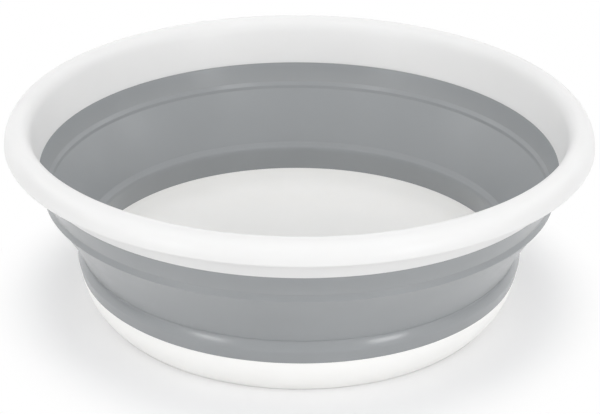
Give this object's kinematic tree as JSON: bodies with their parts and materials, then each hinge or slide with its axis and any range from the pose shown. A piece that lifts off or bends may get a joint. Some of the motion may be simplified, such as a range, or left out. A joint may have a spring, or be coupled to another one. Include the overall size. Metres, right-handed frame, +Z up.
{
  "type": "collapsible washbasin",
  "caption": "Round collapsible camp washbasin: a rolled rim on a soft wall that folds down inside itself around a rigid base pan.",
  "frame": {"origin": "centre of the foot ring, on the surface that the open basin stands on", "axes": "+Z up along the basin's axis, which every piece is turned about; +X and +Y are any two radial directions"},
  "size_m": [0.38, 0.38, 0.1293],
  "materials": {
    "rim_plastic": "white injection-moulded polypropylene, smooth satin",
    "wall_elastomer": "mid-grey soft elastomer, satin with a soft sheen",
    "pan_plastic": "white injection-moulded polypropylene, smooth satin"
  },
  "bodies": {
    "base": {"base_pan": "pan_plastic", "lower_wall_band": "wall_elastomer", "folding_wall_band": "wall_elastomer"},
    "rim": {"rim": "rim_plastic", "upper_wall_band": "wall_elastomer"}
  },
  "joints": [
    {"name": "collapse_slide", "type": "slide", "parent": "base", "child": "rim", "axis": [0, 0, 1], "range_m": [-0.078, 0], "deforming": ["folding_wall_band"]}
  ]
}
